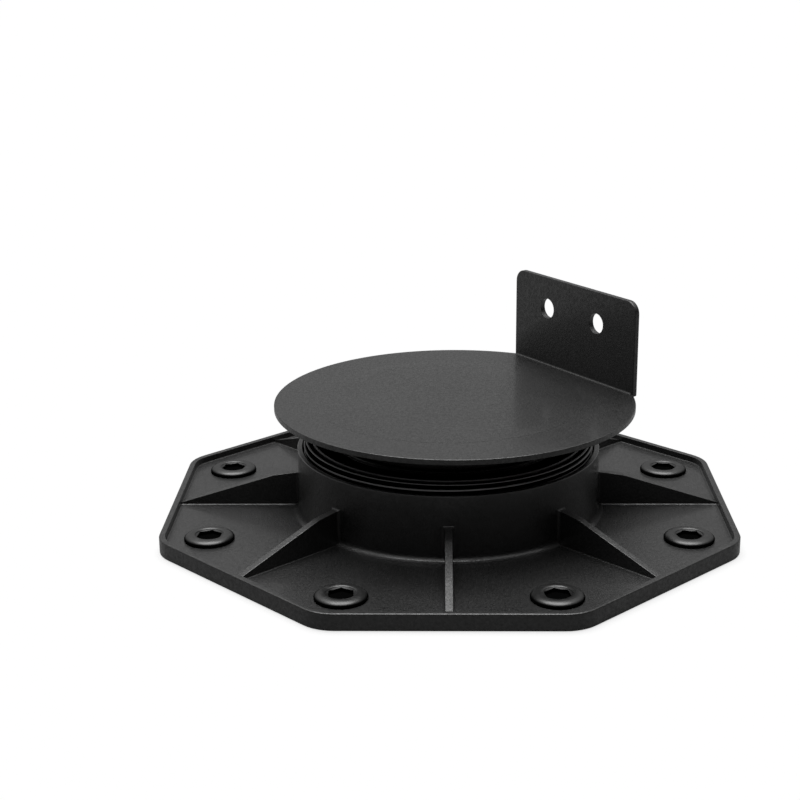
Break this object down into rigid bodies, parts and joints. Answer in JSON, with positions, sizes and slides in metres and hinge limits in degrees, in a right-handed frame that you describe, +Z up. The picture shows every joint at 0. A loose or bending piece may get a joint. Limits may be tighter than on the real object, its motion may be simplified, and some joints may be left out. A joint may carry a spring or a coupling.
{
  "type": "decking pedestal",
  "caption": "Adjustable black decking pedestal: octagonal ribbed foot with a round collar, a screw sleeve that sets the height, and a swivelling disc head with an upright drilled tab.",
  "frame": {"origin": "on the ground at the middle of the octagonal foot, on the axis of the collar", "axes": "+Z up along the axis of the screw; +X and -Y at right angles to two flats of the foot; the picture looks along +Y"},
  "size_m": [0.2, 0.2, 0.0774],
  "materials": {
    "black_plastic": "fine moulded grain, satin black",
    "thread_plastic": "smooth moulded satin black",
    "black_steel": "blackened steel, semi-gloss"
  },
  "bodies": {
    "base": {"base_foot": "black_plastic", "fixing_screws": "black_steel"},
    "ring": {"retaining_ring": "thread_plastic"},
    "sleeve": {"threaded_sleeve": "thread_plastic"},
    "head": {"head_plate": "black_plastic"}
  },
  "joints": [
    {"name": "height", "type": "slide", "parent": "base", "child": "ring", "axis": [0, 0, 1], "range_m": [-0.013, 0.004]},
    {"name": "sleeve_turn", "type": "hinge", "parent": "ring", "child": "sleeve", "pos_m": [0, 0, 0.0286], "axis": [0, 0, 1], "range_deg": [-2339, 719]},
    {"name": "head_swivel", "type": "hinge", "parent": "ring", "child": "head", "pos_m": [0, 0, 0.0309], "axis": [0, 0, 1], "continuous": true}
  ],
  "couplings": [
    {"joint": "height", "follows": "sleeve_turn", "m_per_rad": 0.00031831}
  ]
}
